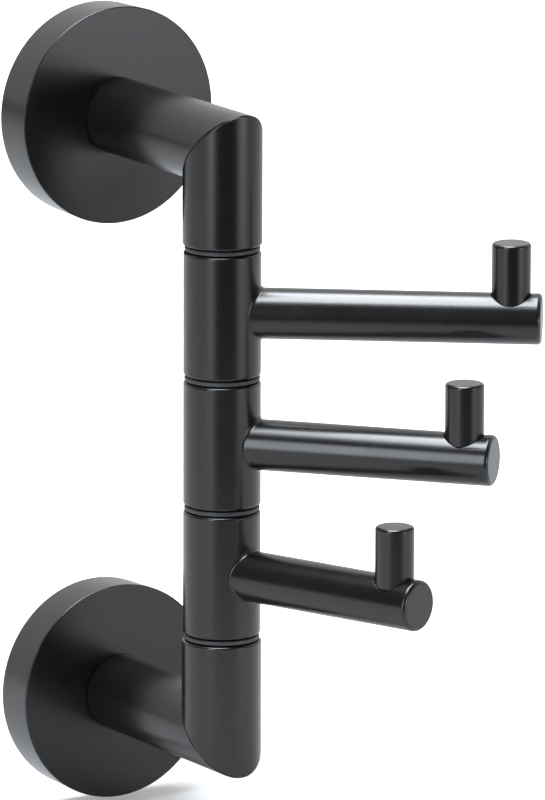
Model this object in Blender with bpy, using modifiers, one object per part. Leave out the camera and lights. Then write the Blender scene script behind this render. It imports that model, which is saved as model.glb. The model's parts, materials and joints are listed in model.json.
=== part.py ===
"""A wall rack with three swivelling coat hooks on one upright spindle, between two wall rosettes.

Metres, +Z up. The wall is the plane Y = 0 and the rack stands out towards -Y. The origin is the
centre of the upper wall plate's back face. Each hook turns about the spindle, and an empty on the
spindle's axis carries its pieces.
"""

from math import cos, pi, radians, sin

import bmesh
import bpy
from mathutils import Matrix, Vector

COLLECTION = "rotating_closet_hook"

# Clearances
SEAT_GAP = 0.0003
RUNNING_GAP = 0.0002
THREAD_GAP = 0.00015
OVERRUN = 0.002

# Rosettes and the wall plates inside them
ROSETTE_DIAMETER = 0.0540
ROSETTE_DRAFT = 0.0004
ROSETTE_DEPTH = 0.0122
ROSETTE_FACE = 0.0025
ROSETTE_WALL = 0.0018
ROSETTE_FRONT_ROUND = 0.0005
ROSETTE_BACK_ROUND = 0.0005
PLATE_CHAMFER = 0.0006
WALL_SLOT_WIDTH = 0.0046
WALL_SLOT_TRAVEL = 0.0030
WALL_SCREW_HEAD = 0.0084
WALL_SLOT_FLOOR = 0.0045

# Standoffs and the end posts that they meet in a mitre
POST_OFFSET = 0.0600
STANDOFF_DIAMETER = 0.0190
END_POST_DIAMETER = 0.0194
END_POST_LENGTH = 0.0236
END_POST_EDGE = 0.0004
SPINDLE_HOLE_ROOF = 0.0035

# Hook barrels, their bushes and the washers between them
SPINDLE_DIAMETER = 0.0080
SPINDLE_CHAMFER = 0.0005
BARREL_DIAMETER = 0.0189
BARREL_LENGTH = 0.0305
BARREL_EDGE = 0.0005
BUSH_WALL = 0.0012
BUSH_LENGTH = 0.0090
WASHER_DIAMETER = 0.0184
WASHER_THICKNESS = 0.0011

# Hook arms and the pegs at their ends
ARM_DIAMETER = 0.0125
ARM_EDGE = 0.0005
SHORTEST_REACH = 0.0595
REACH_STEP = 0.0090
PEG_DIAMETER = 0.0095
PEG_TOP = 0.0187
PEG_EDGE = 0.0005
PEG_INSET = 0.0075
PEG_SPIGOT_DIAMETER = 0.0050
PEG_HOLE_FLOOR = 0.0032
ARM_STUD_DIAMETER = 0.0050
ARM_STUD_GRIP = 0.0100

# Screws, with plain shanks in place of threads
STANDOFF_SCREW_DIAMETER = 0.0060
STANDOFF_SCREW_HEAD = 0.0100
STANDOFF_SCREW_HEAD_HEIGHT = 0.0033
STANDOFF_SCREW_KEY = 0.0040
STANDOFF_SCREW_GRIP = 0.0120
STANDOFF_HOLE_SPARE = 0.0020
SET_SCREW_DIAMETER = 0.0040
SET_SCREW_BITE = 0.0022
SET_SCREW_KEY = 0.0020
LOCK_SCREW_DIAMETER = 0.0050
LOCK_SCREW_KEY = 0.0025
SCREW_CHAMFER = 0.0004
SCREW_RECESS = 0.0003
KEY_DEPTH = 0.0016

# How far each hook is turned at rest, from straight out of the wall towards +X
REST_TURNS = {"upper": radians(52.5), "middle": radians(41.0), "lower": radians(20.8)}

# Facets round each kind of circle, and along each rounded edge
ROSETTE_STEPS = 48
POST_STEPS = 32
SMALL_STEPS = 16
EDGE_STEPS = 2
SMOOTH_ANGLE = radians(40)

# Places worked out from the sizes above
PITCH = BARREL_LENGTH + WASHER_THICKNESS + 2 * SEAT_GAP
STACK_HALF = 1.5 * PITCH
POST_FACE = STACK_HALF + WASHER_THICKNESS / 2 + SEAT_GAP
ROSETTE_SPACING = 2 * (POST_FACE + END_POST_LENGTH)
STACK_MIDDLE = -ROSETTE_SPACING / 2
SPINDLE_GRIP = END_POST_LENGTH - SPINDLE_DIAMETER / 2 - THREAD_GAP - SPINDLE_HOLE_ROOF
BUSH_RADIUS = SPINDLE_DIAMETER / 2 + RUNNING_GAP + BUSH_WALL
BARREL_BORE = BUSH_RADIUS + THREAD_GAP
PLATE_DEPTH = ROSETTE_DEPTH - ROSETTE_FACE - SEAT_GAP
PLATE_RADIUS = ROSETTE_DIAMETER / 2 - ROSETTE_DRAFT - ROSETTE_WALL - SEAT_GAP
HEAD_POCKET = STANDOFF_SCREW_HEAD / 2 + SEAT_GAP
HEAD_POCKET_FLOOR = PLATE_DEPTH - STANDOFF_SCREW_HEAD_HEIGHT - SEAT_GAP

OUT_OF_WALL = Matrix.Rotation(pi / 2, 4, "X")


def start_scene():
    """Clears the scene and makes one collection for the pieces and one for the cutters."""
    for obj in list(bpy.data.objects):
        bpy.data.objects.remove(obj, do_unlink=True)
    for name in (COLLECTION, "cutters"):
        group = bpy.data.collections.new(name)
        bpy.context.scene.collection.children.link(group)
    bpy.data.collections["cutters"].hide_render = True


def finish_material(name, colour, roughness, metallic):
    material = bpy.data.materials.new(name)
    material.use_nodes = True
    shader = material.node_tree.nodes["Principled BSDF"]
    shader.inputs["Base Color"].default_value = (*colour, 1)
    shader.inputs["Roughness"].default_value = roughness
    shader.inputs["Metallic"].default_value = metallic
    material.diffuse_color = (*colour, 1)
    return material


def make_materials():
    """One finish for each kind of piece."""
    return {
        "coat": finish_material("black_powder_coat", (0.018, 0.0185, 0.0195), 0.30, 0.0),
        "washer": finish_material("black_nylon", (0.030, 0.031, 0.033), 0.50, 0.0),
        "bush": finish_material("white_acetal", (0.80, 0.79, 0.76), 0.45, 0.0),
        "steel": finish_material("stainless_steel", (0.60, 0.60, 0.61), 0.30, 1.0),
        "screw": finish_material("blackened_steel", (0.10, 0.10, 0.11), 0.40, 1.0),
        "zinc": finish_material("cast_zinc", (0.50, 0.51, 0.53), 0.50, 1.0),
    }


def add_object(name, mesh, place, group=COLLECTION, material=None, parent=None):
    """Links a mesh as an object at a place in its parent's space."""
    obj = bpy.data.objects.new(name, mesh)
    bpy.data.collections[group].objects.link(obj)
    obj.parent = parent
    obj.matrix_basis = place
    if material:
        mesh.materials.append(material)
    if group == "cutters":
        obj.hide_render = True
        obj.display_type = "WIRE"
    return obj


def rounded_corner(radius, height, round_radius, start, sweep):
    """Points of an arc round a corner's centre, in the plane of radius and height."""
    turns = [start + sweep * step / EDGE_STEPS for step in range(EDGE_STEPS + 1)]
    return [(radius + round_radius * cos(t), height + round_radius * sin(t)) for t in turns]


def turned(name, outline, steps, place, closed=True, **where):
    """A turned piece: the outline runs down its outer side, and a closed one leaves a bore."""
    mesh = bpy.data.meshes.new(name)
    shape = bmesh.new()
    points = [shape.verts.new((radius, 0, height)) for radius, height in outline]
    for first, second in zip(points, points[1:]):
        shape.edges.new((first, second))
    if closed:
        shape.edges.new((points[-1], points[0]))
    shape.to_mesh(mesh)
    shape.free()
    obj = add_object(name, mesh, place, **where)
    screw = obj.modifiers.new("turn", "SCREW")
    screw.angle = 2 * pi
    screw.steps = steps
    screw.render_steps = steps
    screw.use_merge_vertices = True
    screw.merge_threshold = 0.00001
    screw.use_smooth_shade = True
    return obj


def tube_outline(inner, outer, bottom, top, edge):
    """A tube's wall with its two outer edges rounded."""
    upper = rounded_corner(outer - edge, top - edge, edge, pi / 2, -pi / 2)
    lower = rounded_corner(outer - edge, bottom + edge, edge, 0, -pi / 2)
    return [(inner, top), *upper, *lower, (inner, bottom)]


def rod_outline(radius, bottom, top, chamfer=0.0):
    """A plain rod, chamfered at both ends where a chamfer is given."""
    if not chamfer:
        return [(0, top), (radius, top), (radius, bottom), (0, bottom)]
    inner = radius - chamfer
    ends = [(0, top), (inner, top), (radius, top - chamfer)]
    return [*ends, (radius, bottom + chamfer), (inner, bottom), (0, bottom)]


def rod(name, radius, bottom, top, steps, place, chamfer=0.0, **where):
    """A turned rod along its own Z."""
    outline = rod_outline(radius, bottom, top, chamfer)
    return turned(name, outline, steps, place, closed=False, **where)


def mitred_rod(name, radius, square_end, mitre_end, lean, place, **where):
    """A rod from a square end to a 45 degree mitre whose height changes by lean times its Y."""
    mesh = bpy.data.meshes.new(name)
    shape = bmesh.new()
    bmesh.ops.create_cone(
        shape,
        cap_ends=True,
        segments=POST_STEPS,
        radius1=radius,
        radius2=radius,
        depth=abs(mitre_end - square_end),
    )
    for vert in shape.verts:
        far = (vert.co.z > 0) == (mitre_end > square_end)
        vert.co.z = mitre_end + lean * vert.co.y if far else square_end
    shape.to_mesh(mesh)
    shape.free()
    mesh.shade_smooth()
    mesh.set_sharp_from_angle(angle=SMOOTH_ANGLE)
    return add_object(name, mesh, place, **where)


def key_socket(name, across_flats, bottom, top, place, parent=None):
    """A hexagonal cutter, as long as it needs to be."""
    mesh = bpy.data.meshes.new(name)
    shape = bmesh.new()
    corner = across_flats / 2 / cos(pi / 6)
    bmesh.ops.create_cone(
        shape, cap_ends=True, segments=6, radius1=corner, radius2=corner, depth=top - bottom
    )
    bmesh.ops.translate(shape, verts=shape.verts, vec=(0, 0, (top + bottom) / 2))
    shape.to_mesh(mesh)
    shape.free()
    return add_object(name, mesh, place, group="cutters", parent=parent)


def slot_cutter(name, width, travel, bottom, top, place):
    """A cutter with round ends, longer than it is wide by its travel along Y."""
    mesh = bpy.data.meshes.new(name)
    shape = bmesh.new()
    half = width / 2
    bmesh.ops.create_cone(
        shape, cap_ends=True, segments=SMALL_STEPS, radius1=half, radius2=half, depth=top - bottom
    )
    turn = Matrix.Rotation(pi / SMALL_STEPS, 4, "Z")
    bmesh.ops.transform(shape, matrix=turn, verts=shape.verts)
    for vert in shape.verts:
        vert.co.y += travel / 2 if vert.co.y > 0 else -travel / 2
        vert.co.z += (top + bottom) / 2
    shape.to_mesh(mesh)
    shape.free()
    return add_object(name, mesh, place, group="cutters")


def combine(obj, other, operation="DIFFERENCE"):
    """Cuts another object from this one, or joins it on."""
    modifier = obj.modifiers.new(f"{operation.lower()}_{other.name}", "BOOLEAN")
    modifier.operation = operation
    modifier.object = other


def smooth_edges(obj, width):
    bevel = obj.modifiers.new("edge", "BEVEL")
    bevel.width = width
    bevel.segments = EDGE_STEPS
    bevel.limit_method = "ANGLE"
    bevel.angle_limit = SMOOTH_ANGLE


def downwards(side_place, height):
    """A place whose Z points down from a rosette's axis, at a height above the wall."""
    return side_place @ Matrix.Translation((0, 0, height)) @ Matrix.Rotation(pi / 2, 4, "X")


def make_wall_plate(end, side, looks):
    """The cast plate that the wall screws hold. The rosette slips over it."""
    pocket = HEAD_POCKET
    outline = [
        (0, HEAD_POCKET_FLOOR),
        (pocket, HEAD_POCKET_FLOOR),
        (pocket, PLATE_DEPTH),
        (PLATE_RADIUS - PLATE_CHAMFER, PLATE_DEPTH),
        (PLATE_RADIUS, PLATE_DEPTH - PLATE_CHAMFER),
        (PLATE_RADIUS, 0),
        (0, 0),
    ]
    name = f"{end}_wall_plate"
    where = {"material": looks["zinc"], "closed": False}
    plate = turned(name, outline, ROSETTE_STEPS, side, **where)
    slot_centre = (pocket + PLATE_RADIUS) / 2
    for hand, sign in (("left", -1), ("right", 1)):
        place = side @ Matrix.Translation((sign * slot_centre, 0, 0))
        top = PLATE_DEPTH + OVERRUN
        slot = slot_cutter(
            f"{name}_{hand}_slot", WALL_SLOT_WIDTH, WALL_SLOT_TRAVEL, -OVERRUN, top, place
        )
        sink = slot_cutter(
            f"{name}_{hand}_sink", WALL_SCREW_HEAD, WALL_SLOT_TRAVEL, WALL_SLOT_FLOOR, top, place
        )
        combine(plate, slot)
        combine(plate, sink)
    dimple = rod(
        f"{name}_dimple",
        SET_SCREW_DIAMETER / 2 + SEAT_GAP,
        PLATE_RADIUS - SET_SCREW_BITE - SEAT_GAP,
        PLATE_RADIUS + OVERRUN,
        SMALL_STEPS,
        downwards(side, PLATE_DEPTH / 2),
        group="cutters",
    )
    combine(plate, dimple)


def make_rosette(end, side, looks):
    """The round cup that hides the wall plate, with the standoff screwed to its face."""
    front = ROSETTE_DIAMETER / 2
    back = front - ROSETTE_DRAFT
    hole = STANDOFF_SCREW_DIAMETER / 2 + SEAT_GAP
    inner_face = ROSETTE_DEPTH - ROSETTE_FACE
    rounding = ROSETTE_FRONT_ROUND
    outline = [
        (hole, ROSETTE_DEPTH),
        *rounded_corner(front - rounding, ROSETTE_DEPTH - rounding, rounding, pi / 2, -pi / 2),
        (back, SEAT_GAP + ROSETTE_BACK_ROUND),
        (back - ROSETTE_BACK_ROUND, SEAT_GAP),
        (back - ROSETTE_WALL, SEAT_GAP),
        (back - ROSETTE_WALL, inner_face),
        (hole, inner_face),
    ]
    rosette = turned(f"{end}_rosette", outline, ROSETTE_STEPS, side, material=looks["coat"])
    place = downwards(side, PLATE_DEPTH / 2)
    hole = rod(
        f"{end}_set_screw_hole",
        SET_SCREW_DIAMETER / 2 + THREAD_GAP,
        back - ROSETTE_WALL - OVERRUN,
        front + OVERRUN,
        SMALL_STEPS,
        place,
        group="cutters",
    )
    combine(rosette, hole)
    tip = PLATE_RADIUS - SET_SCREW_BITE
    add_grub_screw(
        f"{end}_rosette_set_screw", SET_SCREW_DIAMETER, tip, back - SCREW_RECESS, SET_SCREW_KEY,
        place, looks,
    )


def add_grub_screw(name, diameter, tip, head, key, place, looks):
    """A headless screw with a hexagonal socket in its outer end."""
    screw = rod(
        name, diameter / 2, tip, head, SMALL_STEPS, place, SCREW_CHAMFER, material=looks["screw"]
    )
    socket = key_socket(f"{name}_socket", key, head - KEY_DEPTH, head + OVERRUN, place)
    combine(screw, socket)


def make_standoff(end, lean, side, looks):
    """The round bar out of the wall, and the screw that draws it onto the rosette."""
    root = ROSETTE_DEPTH + SEAT_GAP
    mitre = POST_OFFSET - SEAT_GAP / 2
    bar = mitred_rod(
        f"{end}_standoff", STANDOFF_DIAMETER / 2, root, mitre, lean, side, material=looks["coat"]
    )
    radius = STANDOFF_SCREW_DIAMETER / 2
    tip = ROSETTE_DEPTH + STANDOFF_SCREW_GRIP
    hole = rod(
        f"{end}_standoff_hole",
        radius + THREAD_GAP,
        root - OVERRUN,
        tip + STANDOFF_HOLE_SPARE,
        SMALL_STEPS,
        side,
        group="cutters",
    )
    combine(bar, hole)
    seat = PLATE_DEPTH
    head = STANDOFF_SCREW_HEAD / 2
    crown = seat - STANDOFF_SCREW_HEAD_HEIGHT
    outline = [
        (0, tip),
        (radius - SCREW_CHAMFER, tip),
        (radius, tip - SCREW_CHAMFER),
        (radius, seat),
        (head, seat),
        (head, crown + SCREW_CHAMFER),
        (head - SCREW_CHAMFER, crown),
        (0, crown),
    ]
    name = f"{end}_standoff_screw"
    screw = turned(name, outline, SMALL_STEPS, side, closed=False, material=looks["screw"])
    socket = key_socket(
        f"{name}_socket", STANDOFF_SCREW_KEY, crown - OVERRUN, crown + KEY_DEPTH, side
    )
    combine(screw, socket)


def make_end_post(end, up, elbow, looks):
    """The short upright that closes the stack, mitred to its standoff."""
    square_end = -up * END_POST_LENGTH
    mitre = -up * SEAT_GAP / 2
    post = mitred_rod(
        f"{end}_end_post", END_POST_DIAMETER / 2, square_end, mitre, -up, elbow,
        material=looks["coat"],
    )
    smooth_edges(post, END_POST_EDGE)
    depths = (square_end - up * OVERRUN, square_end + up * SPINDLE_GRIP)
    hole = rod(
        f"{end}_spindle_hole",
        SPINDLE_DIAMETER / 2 + THREAD_GAP,
        min(depths),
        max(depths),
        POST_STEPS,
        elbow,
        group="cutters",
    )
    combine(post, hole)
    return post


def make_spindle_and_lock(lower_post, axis, looks):
    """The steel rod through the stack, and the grub screw behind the lower post that holds it."""
    half = POST_FACE + SPINDLE_GRIP - SEAT_GAP
    radius = SPINDLE_DIAMETER / 2
    rod(
        "spindle", radius, -half, half, POST_STEPS, axis, SPINDLE_CHAMFER, material=looks["steel"]
    )
    lock_height = -POST_FACE - SPINDLE_GRIP / 2
    place = axis @ Matrix.Translation((0, 0, lock_height)) @ Matrix.Rotation(-pi / 2, 4, "X")
    outer = END_POST_DIAMETER / 2
    hole = rod(
        "spindle_lock_hole",
        LOCK_SCREW_DIAMETER / 2 + THREAD_GAP,
        radius,
        outer + OVERRUN,
        SMALL_STEPS,
        place,
        group="cutters",
    )
    combine(lower_post, hole)
    add_grub_screw(
        "spindle_lock_screw", LOCK_SCREW_DIAMETER, radius + SEAT_GAP, outer - SCREW_RECESS,
        LOCK_SCREW_KEY, place, looks,
    )


def make_washers(axis, looks):
    """The thin rings between the barrels and the posts."""
    bore = SPINDLE_DIAMETER / 2 + RUNNING_GAP
    radius = WASHER_DIAMETER / 2
    half = WASHER_THICKNESS / 2
    outline = [(bore, half), (radius, half), (radius, -half), (bore, -half)]
    names = ("top_washer", "upper_middle_washer", "lower_middle_washer", "bottom_washer")
    for index, name in enumerate(names):
        place = axis @ Matrix.Translation((0, 0, STACK_HALF - index * PITCH))
        turned(name, outline, POST_STEPS, place, material=looks["washer"])


def make_barrel(hook, turn, looks):
    """The swivelling sleeve of one hook, with its two bushes."""
    half = BARREL_LENGTH / 2
    outline = tube_outline(BARREL_BORE, BARREL_DIAMETER / 2, -half, half, BARREL_EDGE)
    here = Matrix.Identity(4)
    barrel = turned(
        f"{hook}_barrel", outline, POST_STEPS, here, parent=turn, material=looks["coat"]
    )
    bore = SPINDLE_DIAMETER / 2 + RUNNING_GAP
    outline = [(bore, 0), (BUSH_RADIUS, 0), (BUSH_RADIUS, -BUSH_LENGTH), (bore, -BUSH_LENGTH)]
    for level, start in (("top", half), ("bottom", BUSH_LENGTH - half)):
        place = Matrix.Translation((0, 0, start))
        turned(
            f"{hook}_barrel_{level}_bush", outline, SMALL_STEPS, place, parent=turn,
            material=looks["bush"],
        )
    return barrel


def make_arm(hook, reach, barrel, turn, looks):
    """The round arm, hollowed to sit on its barrel, and the stud that holds it there."""
    radius = ARM_DIAMETER / 2
    corner = rounded_corner(radius - ARM_EDGE, reach - ARM_EDGE, ARM_EDGE, pi / 2, -pi / 2)
    outline = [(0, reach), *corner, (radius, 0), (0, 0)]
    arm = turned(
        f"{hook}_arm", outline, POST_STEPS, OUT_OF_WALL, closed=False, parent=turn,
        material=looks["coat"],
    )
    saddle = rod(
        f"{hook}_saddle",
        BARREL_DIAMETER / 2 + SEAT_GAP,
        -ARM_DIAMETER,
        ARM_DIAMETER,
        POST_STEPS,
        Matrix.Identity(4),
        group="cutters",
        parent=turn,
    )
    combine(arm, saddle)
    stud_radius = ARM_STUD_DIAMETER / 2
    tip = BARREL_DIAMETER / 2 + ARM_STUD_GRIP
    hole = rod(
        f"{hook}_stud_hole",
        stud_radius + THREAD_GAP,
        SPINDLE_DIAMETER / 2,
        tip + SEAT_GAP,
        SMALL_STEPS,
        OUT_OF_WALL,
        group="cutters",
        parent=turn,
    )
    combine(arm, hole)
    combine(barrel, hole)
    rod(
        f"{hook}_arm_stud", stud_radius, BARREL_BORE + SEAT_GAP, tip, SMALL_STEPS, OUT_OF_WALL,
        SCREW_CHAMFER, parent=turn, material=looks["steel"],
    )
    return arm


def make_peg(hook, reach, arm, turn, looks):
    """The upright peg that stops a loop from sliding off, with its spigot in the arm."""
    radius = PEG_DIAMETER / 2
    arm_radius = ARM_DIAMETER / 2
    spigot_end = PEG_HOLE_FLOOR + SEAT_GAP - arm_radius
    place = Matrix.Translation((0, PEG_INSET - reach, 0))
    corner = rounded_corner(radius - PEG_EDGE, PEG_TOP - PEG_EDGE, PEG_EDGE, pi / 2, -pi / 2)
    outline = [(0, PEG_TOP), *corner, (radius, 0), (0, 0)]
    peg = turned(
        f"{hook}_peg", outline, POST_STEPS, place, closed=False, parent=turn,
        material=looks["coat"],
    )
    seat = rod(
        f"{hook}_peg_seat", arm_radius + SEAT_GAP, reach - PEG_INSET - PEG_DIAMETER,
        reach - PEG_INSET + PEG_DIAMETER, POST_STEPS, OUT_OF_WALL, group="cutters", parent=turn,
    )
    combine(peg, seat)
    spigot_radius = PEG_SPIGOT_DIAMETER / 2
    spigot_top = (arm_radius + PEG_TOP) / 2
    spigot = rod(
        f"{hook}_peg_spigot", spigot_radius, spigot_end, spigot_top, SMALL_STEPS, place,
        group="cutters", parent=turn,
    )
    combine(peg, spigot, "UNION")
    hole = rod(
        f"{hook}_peg_hole", spigot_radius + THREAD_GAP, spigot_end - SEAT_GAP, arm_radius + OVERRUN,
        SMALL_STEPS, place, group="cutters", parent=turn,
    )
    combine(arm, hole)


def make_hook(hook, height, reach, looks):
    """One hook, hung from an empty on the spindle's axis that is turned as it rests."""
    turn = bpy.data.objects.new(f"{hook}_hook_turn", None)
    bpy.data.collections[COLLECTION].objects.link(turn)
    turn.location = Vector((0, -POST_OFFSET, height))
    turn.rotation_euler.z = REST_TURNS[hook]
    turn.empty_display_size = BARREL_DIAMETER
    barrel = make_barrel(hook, turn, looks)
    arm = make_arm(hook, reach, barrel, turn, looks)
    make_peg(hook, reach, arm, turn, looks)


def main():
    start_scene()
    looks = make_materials()
    posts = {}
    for end, up in (("upper", 1), ("lower", -1)):
        height = STACK_MIDDLE + up * ROSETTE_SPACING / 2
        side = Matrix.Translation((0, 0, height)) @ OUT_OF_WALL
        elbow = Matrix.Translation((0, -POST_OFFSET, height))
        make_wall_plate(end, side, looks)
        make_rosette(end, side, looks)
        make_standoff(end, up, side, looks)
        posts[end] = make_end_post(end, up, elbow, looks)
    axis = Matrix.Translation((0, -POST_OFFSET, STACK_MIDDLE))
    make_spindle_and_lock(posts["lower"], axis, looks)
    make_washers(axis, looks)
    for steps_up, hook in ((1, "upper"), (0, "middle"), (-1, "lower")):
        reach = SHORTEST_REACH + (steps_up + 1) * REACH_STEP
        make_hook(hook, STACK_MIDDLE + steps_up * PITCH, reach, looks)


main()
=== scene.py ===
"""A wall rack of swivelling coat hooks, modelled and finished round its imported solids.

Each piece that shows is modelled again at the size and place of its solid, with its fine edges,
fillets and rims, and moves with the solid's body. The pieces inside keep their solids and get a
finish. Metres, +Z up; the wall is the plane Y = 0 and the rack stands out towards -Y.
"""

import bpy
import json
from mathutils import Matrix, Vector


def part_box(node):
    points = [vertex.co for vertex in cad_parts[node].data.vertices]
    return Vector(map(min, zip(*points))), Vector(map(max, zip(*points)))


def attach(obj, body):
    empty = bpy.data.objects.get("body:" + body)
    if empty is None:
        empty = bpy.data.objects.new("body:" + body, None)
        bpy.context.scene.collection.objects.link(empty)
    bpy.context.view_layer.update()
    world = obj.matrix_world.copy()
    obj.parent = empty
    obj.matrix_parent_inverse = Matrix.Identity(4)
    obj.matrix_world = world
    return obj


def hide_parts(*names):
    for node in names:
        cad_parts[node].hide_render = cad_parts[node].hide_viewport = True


bl_info = {
    "name": "Swivelling Coat Hook Rack",
    "version": (1, 0, 0),
    "blender": (4, 5, 0),
    "location": "3D View > Sidebar > Hook Rack",
    "description": "Models and finishes a wall rack of swivelling coat hooks, and lights it",
    "category": "Add Mesh",
}

import json
from contextlib import contextmanager
from math import atan2, cos, hypot, pi, radians, sin, sqrt
from typing import NamedTuple

import bmesh
import bpy
from bpy.props import FloatProperty, FloatVectorProperty, IntProperty, PointerProperty
from mathutils import Matrix, Vector

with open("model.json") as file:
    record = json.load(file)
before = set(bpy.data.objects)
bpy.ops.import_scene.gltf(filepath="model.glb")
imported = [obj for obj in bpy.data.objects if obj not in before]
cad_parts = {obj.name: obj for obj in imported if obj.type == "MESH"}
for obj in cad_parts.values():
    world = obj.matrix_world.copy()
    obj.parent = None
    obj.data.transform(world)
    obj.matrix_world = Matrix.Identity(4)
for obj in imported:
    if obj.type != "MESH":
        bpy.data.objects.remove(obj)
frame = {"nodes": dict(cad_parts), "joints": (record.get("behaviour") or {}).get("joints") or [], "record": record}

ENDS = ("upper", "lower")
# Which way along Z each end lies from the stack
UPWARDS = {"upper": 1, "lower": -1}
HOOKS = ("upper", "middle", "lower")
WASHERS = ("top_washer", "upper_middle_washer", "lower_middle_washer", "bottom_washer")
RACK = "wall_rack"

# Two points closer than the first are the same, and a cutter runs past what it cuts by the second
NEAR = 0.00002
OVERRUN = 0.001
# Before a hole's mouth is rounded, its points closer than this share of the rounding are merged
MERGED_SHARE = 1 / 3

# Turns that point Z out of the wall, down from a rosette, and back to the wall
OUT_OF_WALL = Matrix.Rotation(pi / 2, 4, "X")
DOWNWARDS = Matrix.Rotation(pi, 4, "X")
TO_WALL = Matrix.Rotation(-pi / 2, 4, "X")
SPINDLE_AXIS = Matrix.Translation((*frame["joints"][0]["pos_m"][:2], 0))
SMOOTH_ANGLE = radians(35)

# The picture that the camera is set for, in pixels: its size, its focal length, and the pixel
# where the middle of the stack shows
PICTURE = Vector((545, 800))
PICTURE_FOCUS = 10300.5
STACK_PIXEL = Vector((222.0, 441.86))
STACK_MIDDLE = Vector(frame["joints"][1]["pos_m"])
CAMERA_YAW, CAMERA_PITCH, CAMERA_ROLL = radians(32.48), radians(12.70), radians(-0.18)

SLOT_COLOURS = {row["slot"]: row["base_color"] for row in frame["record"]["materials"]}


def length(label, about, value):
    return FloatProperty(
        name=label, description=about, default=value, min=0, unit="LENGTH", precision=5
    )


def share(label, about, value):
    return FloatProperty(
        name=label, description=about, default=value, min=0, max=1, subtype="FACTOR"
    )


def colour(label, about, slot, depth=1.0):
    """A finish's colour: the record's own, darkened to a share of it."""
    default = [depth * value for value in SLOT_COLOURS[slot]]
    return FloatVectorProperty(
        name=label, description=about, default=default, min=0, max=1, subtype="COLOR"
    )


def brightness(label, about, value):
    return FloatProperty(name=label, description=about, default=value, min=0)


class RackDetails(bpy.types.PropertyGroup):
    """Sizes of the fine shapes that the solids leave out."""

    cup_wall: length("Rosette Wall", "Thickness of a rosette's side", 0.0018)
    cup_face: length("Rosette Face", "Thickness of a rosette's front", 0.0025)
    cup_draft: length("Rosette Draft", "How much a rosette narrows towards the wall", 0.0004)
    rosette_edge: length("Rosette Edge", "Radius of the rosettes' front edge", 0.00035)
    rosette_back_edge: length("Rosette Back Edge", "Radius at the wall", 0.00030)
    standoff_edge: length("Standoff Edge", "Radius at both ends of a standoff", 0.00030)
    post_edge: length("Post Edge", "Radius round the end posts' edges", 0.00055)
    mitre_closing: length(
        "Mitre Closing", "How far each side of a mitre fills the gap of its joint", 0.00014
    )
    barrel_edge: length("Barrel Edge", "Radius at both ends of a hook's barrel", 0.00060)
    washer_edge: length("Washer Edge", "Radius round the washers' edges", 0.00030)
    arm_edge: length("Arm Edge", "Radius round an arm's end face", 0.00100)
    peg_edge: length("Peg Edge", "Radius round a peg's top", 0.00070)
    fillet: length("Saddle Fillet", "Radius of the fillet where an arm meets its barrel", 0.00080)
    socket_gap: length("Peg Gap", "Room round a peg in its arm", 0.00012)
    socket_rim: length("Peg Rim", "Radius of the rim round a peg", 0.00030)
    socket_floor: share("Peg Depth", "Height of the peg's foot, as a share of the arm", 0.45)
    screw_rim: length("Screw Rim", "Radius of the rim round a set screw's hole", 0.00015)
    grub_edge: length("Screw Edge", "Chamfer at both ends of a set screw", 0.00040)
    grub_key: share("Screw Key", "Width of a set screw's socket, as a share of it", 0.5)
    grub_key_depth: length("Screw Key Depth", "Depth of a set screw's socket", 0.0016)
    plate_edge: length("Plate Edge", "Chamfer of the wall plates", 0.0006)
    seat_gap: length("Seat Gap", "Room between a wall plate and what sits in it", 0.0003)
    pocket_edge: length("Pocket Edge", "Radius round a wall plate's screw pocket", 0.0003)
    slot_width: length("Slot Width", "Width of the slots for the wall screws", 0.0046)
    slot_travel: length("Slot Travel", "How far a wall screw can slide in its slot", 0.0030)
    sink_width: length("Sink Width", "Width of the slots' sinks for the screw heads", 0.0084)
    sink_floor: length("Sink Floor", "Height of the sinks' floor above the wall", 0.0045)
    dimple_depth: length("Dimple Depth", "How far a set screw bites into its plate", 0.0025)
    facets: IntProperty(
        name="Facets", description="Facets round each bar and rosette", default=128, min=24
    )
    edge_steps: IntProperty(
        name="Edge Steps", description="Facets across each rounded edge", default=6, min=2
    )


class RackFinish(bpy.types.PropertyGroup):
    """Colours and gloss of the finishes, by material slot."""

    black_powder_coat: colour("Coat", "Colour of the powder coat", "black_powder_coat", 0.25)
    black_nylon: colour("Nylon", "Colour of the washers", "black_nylon")
    white_acetal: colour("Acetal", "Colour of the bushes", "white_acetal")
    stainless_steel: colour("Steel", "Colour of the turned steel", "stainless_steel")
    blackened_steel: colour("Screws", "Colour of the blackened screws", "blackened_steel")
    cast_zinc: colour("Zinc", "Colour of the wall plates", "cast_zinc", 0.7)
    black_powder_coat_roughness: share("Coat Roughness", "Roughness of the powder coat", 0.25)
    black_nylon_roughness: share("Nylon Roughness", "Roughness of the washers", 0.48)
    white_acetal_roughness: share("Acetal Roughness", "Roughness of the bushes", 0.42)
    stainless_steel_roughness: share("Steel Roughness", "Roughness of the turned steel", 0.30)
    blackened_steel_roughness: share("Screw Roughness", "Roughness of the screws", 0.42)
    cast_zinc_roughness: share("Zinc Roughness", "Roughness of the wall plates", 0.52)


class RackStudio(bpy.types.PropertyGroup):
    """Light and camera of the picture."""

    distance: length("Distance", "From the camera to the middle of the stack", 2.5)
    floor_drop: length("Floor Drop", "From the origin down to the floor", 0.1745)
    top_light: brightness("Top Light", "The long box above, where 1 is white", 17.5)
    wide_light: brightness("Wide Light", "The wider box round it, where 1 is white", 3)
    left_light: brightness("Left Light", "The upright box at the left, where 1 is white", 7.5)
    right_light: brightness("Right Light", "The box at the right, where 1 is white", 6.8)
    dark_side: brightness("Dark Side", "The room behind the camera, where 1 is white", 0.1)
    back_side: brightness("Back Side", "The room behind the rack, where 1 is white", 0.8)


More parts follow.
